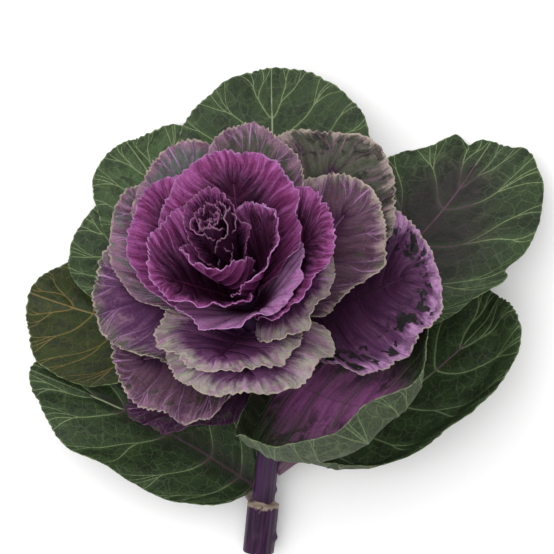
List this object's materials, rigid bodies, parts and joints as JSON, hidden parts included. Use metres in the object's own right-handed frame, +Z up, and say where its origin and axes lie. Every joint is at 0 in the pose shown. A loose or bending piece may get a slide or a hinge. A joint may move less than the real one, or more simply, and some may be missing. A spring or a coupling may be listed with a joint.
{
  "type": "ornamental kale head",
  "caption": "Head of purple ornamental kale cut with a short bent stalk and laid down: green outer leaves round variegated ones and a ruffled purple heart.",
  "frame": {"origin": "on the surface that the head lies on, under the middle of its bounding box", "axes": "+Z up from the surface, towards which the rosette mostly faces; +Y from the cut end of the stalk towards the head; +X to the right seen from above"},
  "size_m": [0.277, 0.2674, 0.1552],
  "materials": {
    "stalk": "waxy purple skin with a pale leaf scar and a moist pale cut end",
    "green_leaf": "waxy deep green with pale green veins, greyer underneath",
    "variegated_leaf": "waxy, purple in the middle, mottled grey-green and pink towards a ruffled margin",
    "purple_leaf": "satin violet with a lilac ruffled margin",
    "heart": "satin dark magenta with lilac crinkled tips"
  },
  "bodies": {
    "root": {"stalk": "stalk", "outer_leaf_1": "green_leaf", "outer_leaf_2": "green_leaf", "outer_leaf_3": "green_leaf", "outer_leaf_4": "green_leaf", "outer_leaf_5": "green_leaf", "outer_leaf_6": "green_leaf", "outer_leaf_7": "green_leaf", "outer_leaf_8": "green_leaf", "middle_leaf_1": "variegated_leaf", "middle_leaf_2": "variegated_leaf", "middle_leaf_3": "variegated_leaf", "middle_leaf_4": "variegated_leaf", "middle_leaf_5": "variegated_leaf", "middle_leaf_6": "variegated_leaf", "middle_leaf_7": "variegated_leaf", "middle_leaf_8": "variegated_leaf", "middle_leaf_9": "variegated_leaf", "middle_leaf_10": "variegated_leaf", "middle_leaf_11": "variegated_leaf", "inner_leaf_1": "purple_leaf", "inner_leaf_2": "purple_leaf", "inner_leaf_3": "purple_leaf", "inner_leaf_4": "purple_leaf", "inner_leaf_5": "purple_leaf", "inner_leaf_6": "purple_leaf", "inner_leaf_7": "purple_leaf", "inner_leaf_8": "purple_leaf", "heart": "heart"}
  },
  "joints": []
}
